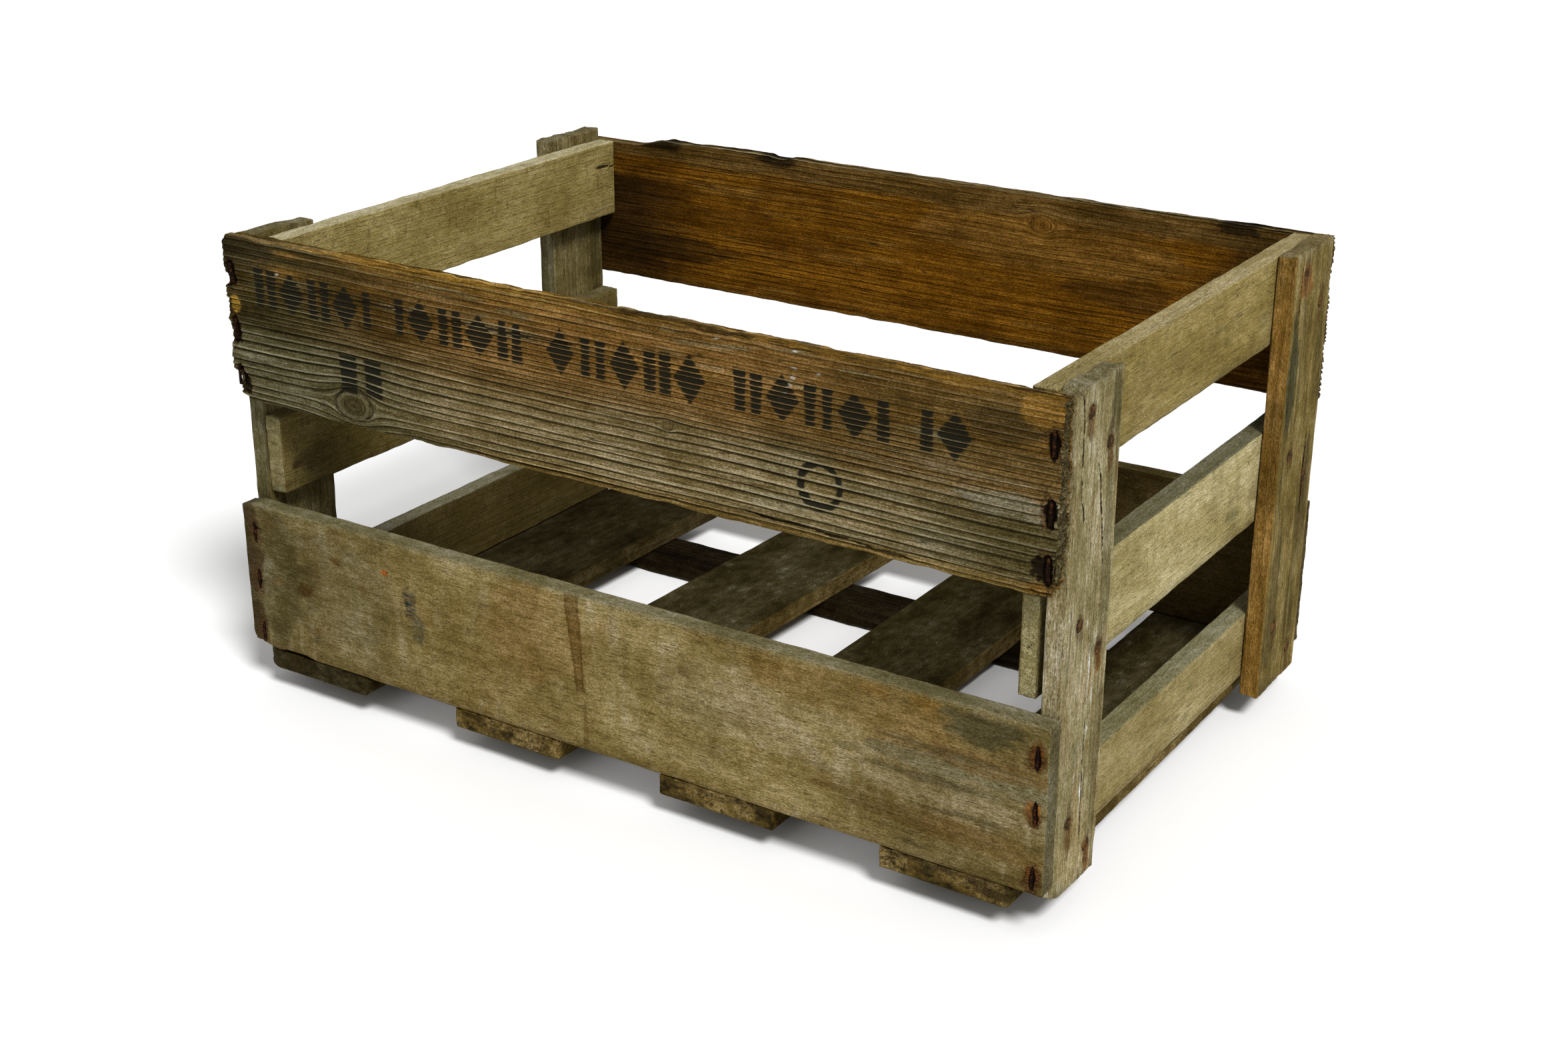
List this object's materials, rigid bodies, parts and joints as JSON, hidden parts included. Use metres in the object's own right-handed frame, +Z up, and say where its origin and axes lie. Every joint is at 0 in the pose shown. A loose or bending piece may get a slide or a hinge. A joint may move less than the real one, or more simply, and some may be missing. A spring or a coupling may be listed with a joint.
{
  "type": "slatted wooden crate",
  "caption": "Open-topped slatted wooden harvest crate of nailed and stapled boards, with corner posts, gapped ends and floor, and runners that let it stack.",
  "frame": {"origin": "centre of the crate's footprint, on the surface that its runners stand on", "axes": "+X along the crate to its right end, the front long side faces -Y, +Z up out of the open top"},
  "size_m": [0.5, 0.33, 0.2655],
  "materials": {
    "weathered_softwood": "bare, weathered, raised grain",
    "side_hardwood": "bare, greyed, stained",
    "post_wood": "bare, greyed, cracked",
    "slat_wood": "bare, rough sawn",
    "floor_wood": "bare, dirty, worn",
    "rusty_nail": "rusted",
    "rusty_staple": "rusted"
  },
  "bodies": {
    "root": {"front_upper_board": "weathered_softwood", "back_upper_board": "weathered_softwood", "front_lower_board": "side_hardwood", "back_lower_board": "side_hardwood", "left_front_post": "post_wood", "left_back_post": "post_wood", "right_front_post": "post_wood", "right_back_post": "post_wood", "left_bottom_slat": "slat_wood", "left_middle_slat": "slat_wood", "left_top_slat": "slat_wood", "right_bottom_slat": "slat_wood", "right_middle_slat": "slat_wood", "right_top_slat": "slat_wood", "floor_board_1": "floor_wood", "floor_board_2": "floor_wood", "floor_board_3": "floor_wood", "floor_board_4": "floor_wood", "front_runner": "floor_wood", "back_runner": "floor_wood", "left_front_post_nails": "rusty_nail", "left_back_post_nails": "rusty_nail", "right_front_post_nails": "rusty_nail", "right_back_post_nails": "rusty_nail", "front_lower_board_staples": "rusty_staple", "front_upper_board_staples": "rusty_staple", "back_lower_board_staples": "rusty_staple", "back_upper_board_staples": "rusty_staple", "front_floor_staples": "rusty_staple", "back_floor_staples": "rusty_staple", "front_runner_staples": "rusty_staple", "back_runner_staples": "rusty_staple"}
  },
  "joints": []
}
